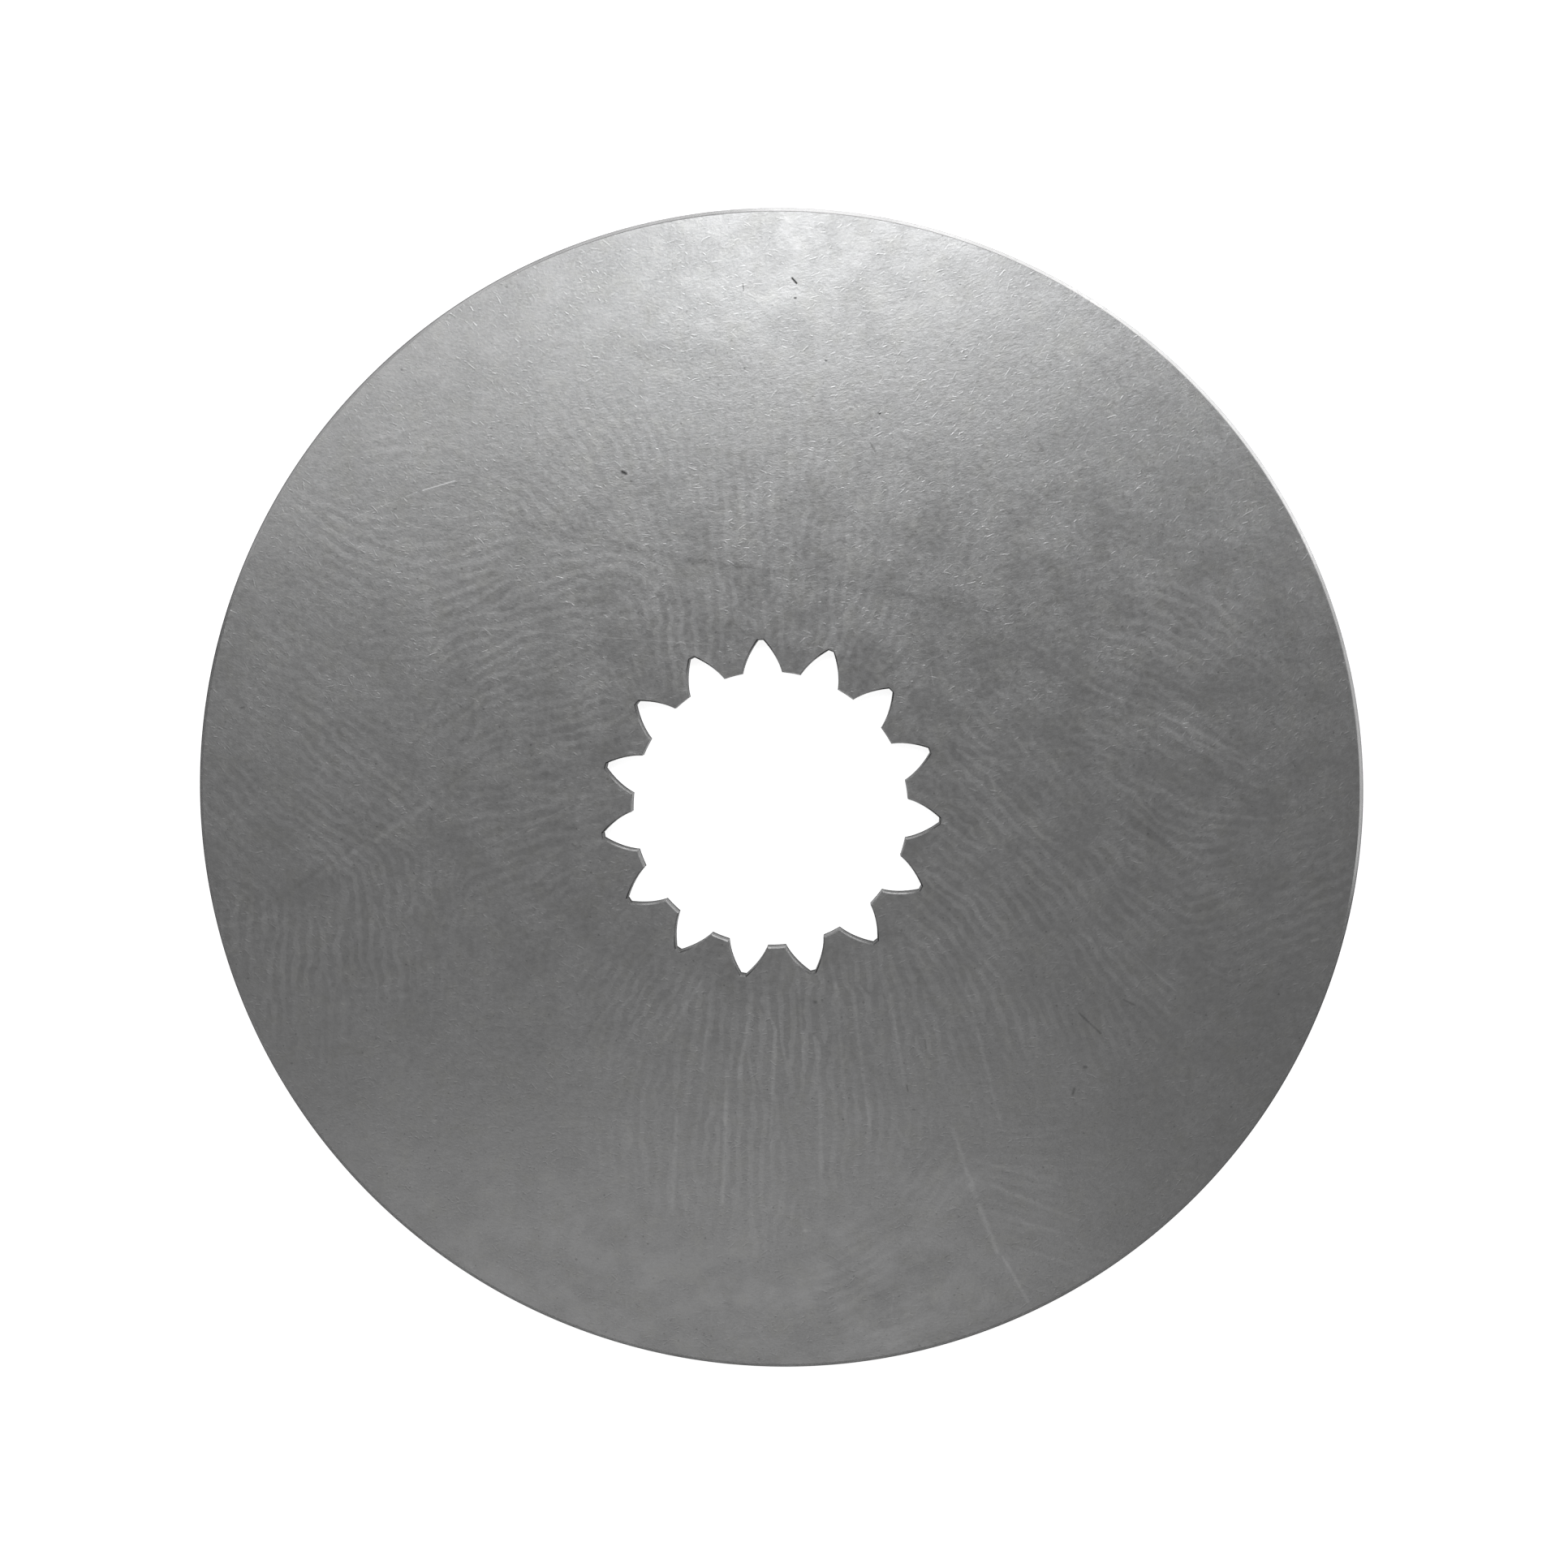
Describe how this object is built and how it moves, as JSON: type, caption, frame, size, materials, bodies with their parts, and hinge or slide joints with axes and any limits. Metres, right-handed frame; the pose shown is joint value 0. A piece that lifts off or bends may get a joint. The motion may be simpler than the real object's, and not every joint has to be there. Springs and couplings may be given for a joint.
{
  "type": "brake disc",
  "caption": "Flat one-piece steel brake disc with a central internal involute spline, so that it turns with a splined shaft and can slide along it.",
  "frame": {"origin": "on the spline's axis, in the plane of the disc's back face", "axes": "+Z along the spline's axis, out of the front face with the bevelled rim; +Y through the middle of one spline space"},
  "size_m": [0.0925, 0.0924, 0.0012],
  "materials": {
    "ground_steel": "bare ground and tumbled steel, satin, with a thin film of oil dried in branching ripples"
  },
  "bodies": {
    "root": {"brake_disc": "ground_steel"}
  },
  "joints": []
}
